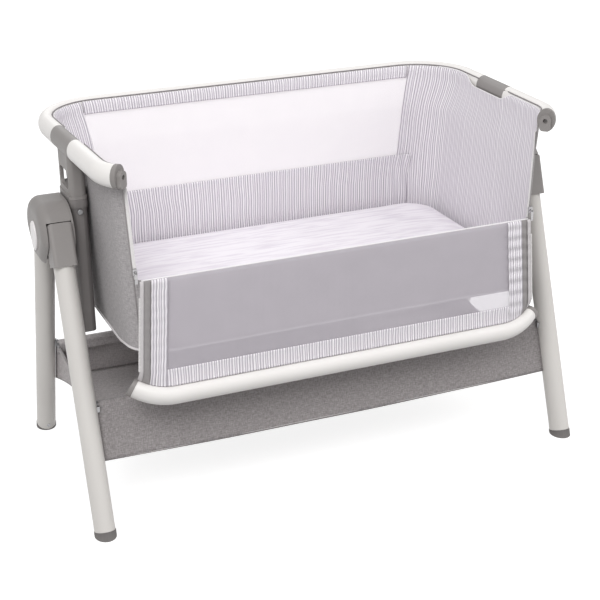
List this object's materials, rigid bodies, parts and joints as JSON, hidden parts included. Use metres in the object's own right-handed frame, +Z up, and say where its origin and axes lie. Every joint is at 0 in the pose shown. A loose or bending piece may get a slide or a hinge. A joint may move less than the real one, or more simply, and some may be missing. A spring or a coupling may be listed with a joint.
{
  "type": "bedside sleeper crib",
  "caption": "Bedside crib on an A-frame stand: fabric tub with mesh windows on a height-adjustable oval rail, one side folded down, storage basket below.",
  "frame": {"origin": "on the floor under the middle of the crib's outline", "axes": "+X along the crib, -Y towards the drop side, +Z up"},
  "size_m": [0.946, 0.4798, 0.6317],
  "materials": {
    "rail_white": "white powder coat",
    "leg_coat": "pale powder coat",
    "hub_grey": "fine moulded grain",
    "column_grey": "fine moulded grain",
    "foot_rubber": "matt",
    "steel": "plated",
    "button_white": "satin",
    "melange": "woven, grey melange",
    "basket_cloth": "woven, grey melange",
    "striped_lining": "ribbed stripe",
    "back_mesh": "fine open mesh",
    "front_mesh": "fine open mesh",
    "board": "rigid board",
    "mattress_cover": "woven, padded",
    "zip_white": "woven tape",
    "zip_metal": "die cast"
  },
  "bodies": {
    "stand": {"rear_leg_left": "leg_coat", "rear_leg_right": "leg_coat", "rear_feet": "foot_rubber", "hub_housing_left": "hub_grey", "hub_housing_right": "hub_grey", "hub_cover_left": "hub_grey", "hub_cover_right": "hub_grey", "lower_column_left": "column_grey", "lower_column_right": "column_grey", "fold_pins": "steel", "column_screws": "steel", "basket_rear_rail": "steel", "basket_rear": "basket_cloth", "basket_floor": "basket_cloth", "basket_end_left": "basket_cloth", "basket_end_right": "basket_cloth", "button_springs": "steel"},
    "front_legs": {"front_leg_left": "leg_coat", "front_leg_right": "leg_coat", "front_leg_sleeve_left": "hub_grey", "front_leg_sleeve_right": "hub_grey", "front_feet": "foot_rubber", "basket_front_rail": "steel", "basket_front": "basket_cloth"},
    "cradle": {"back_rail": "rail_white", "front_end_rail_left": "rail_white", "front_end_rail_right": "rail_white", "saddle_left": "hub_grey", "saddle_right": "hub_grey", "rail_end_cap_left": "hub_grey", "rail_end_cap_right": "hub_grey", "upper_column_left": "hub_grey", "upper_column_right": "hub_grey", "slide_tube_left": "steel", "slide_tube_right": "steel", "end_wall_left": "melange", "end_wall_right": "melange", "end_lining_left": "striped_lining", "end_lining_right": "striped_lining", "back_wall": "melange", "back_lining": "striped_lining", "back_net": "back_mesh", "front_wall": "melange", "tub_floor": "melange", "base_board": "board", "mattress": "mattress_cover", "edge_zip_tapes": "zip_white"},
    "button_left": {"release_button_left": "button_white"},
    "button_right": {"release_button_right": "button_white"},
    "drop_side": {"drop_panel": "striped_lining", "drop_net": "front_mesh", "panel_zip_tapes": "zip_white", "drop_hem": "striped_lining"},
    "drop_bar": {"drop_rail": "rail_white", "drop_rail_cap_left": "hub_grey", "drop_rail_cap_right": "hub_grey"},
    "zip_left": {"zip_slider_left": "zip_metal", "zip_pull_left": "zip_metal"},
    "zip_right": {"zip_slider_right": "zip_metal", "zip_pull_right": "zip_metal"}
  },
  "joints": [
    {"name": "front_leg_fold", "type": "hinge", "parent": "stand", "child": "front_legs", "pos_m": [0, -0.036, 0.497], "axis": [1, 0, 0], "range_deg": [0, 37], "deforming": ["basket_floor", "basket_end_left", "basket_end_right"]},
    {"name": "height_slide", "type": "slide", "parent": "stand", "child": "cradle", "axis": [0, 0, 1], "range_m": [0, 0.15]},
    {"name": "release_button_left", "type": "slide", "parent": "stand", "child": "button_left", "axis": [1, 0, 0], "range_m": [0, 0.005], "stiffness_N_per_m": 400, "springref_m": -0.003, "deforming": ["button_springs"]},
    {"name": "release_button_right", "type": "slide", "parent": "stand", "child": "button_right", "axis": [-1, 0, 0], "range_m": [0, 0.005], "stiffness_N_per_m": 400, "springref_m": -0.003, "deforming": ["button_springs"]},
    {"name": "drop_side_hinge", "type": "hinge", "parent": "cradle", "child": "drop_side", "pos_m": [0, -0.211, 0.4375], "axis": [-1, 0, 0], "range_deg": [0, 171.73], "deforming": ["drop_hem"]},
    {"name": "drop_rail_roll", "type": "hinge", "parent": "drop_side", "child": "drop_bar", "pos_m": [0, -0.2163, 0.24801], "axis": [-1, 0, 0], "range_deg": [-126.73, 0], "deforming": ["drop_hem"]},
    {"name": "zip_slide_left", "type": "slide", "parent": "cradle", "child": "zip_left", "axis": [-0.0501, 0, 0.9987], "range_m": [0, 0.125]},
    {"name": "zip_slide_right", "type": "slide", "parent": "cradle", "child": "zip_right", "axis": [0.0501, 0, 0.9987], "range_m": [0, 0.125]}
  ],
  "couplings": [
    {"joint": "drop_rail_roll", "follows": "drop_side_hinge", "ratio": -0.73797}
  ]
}
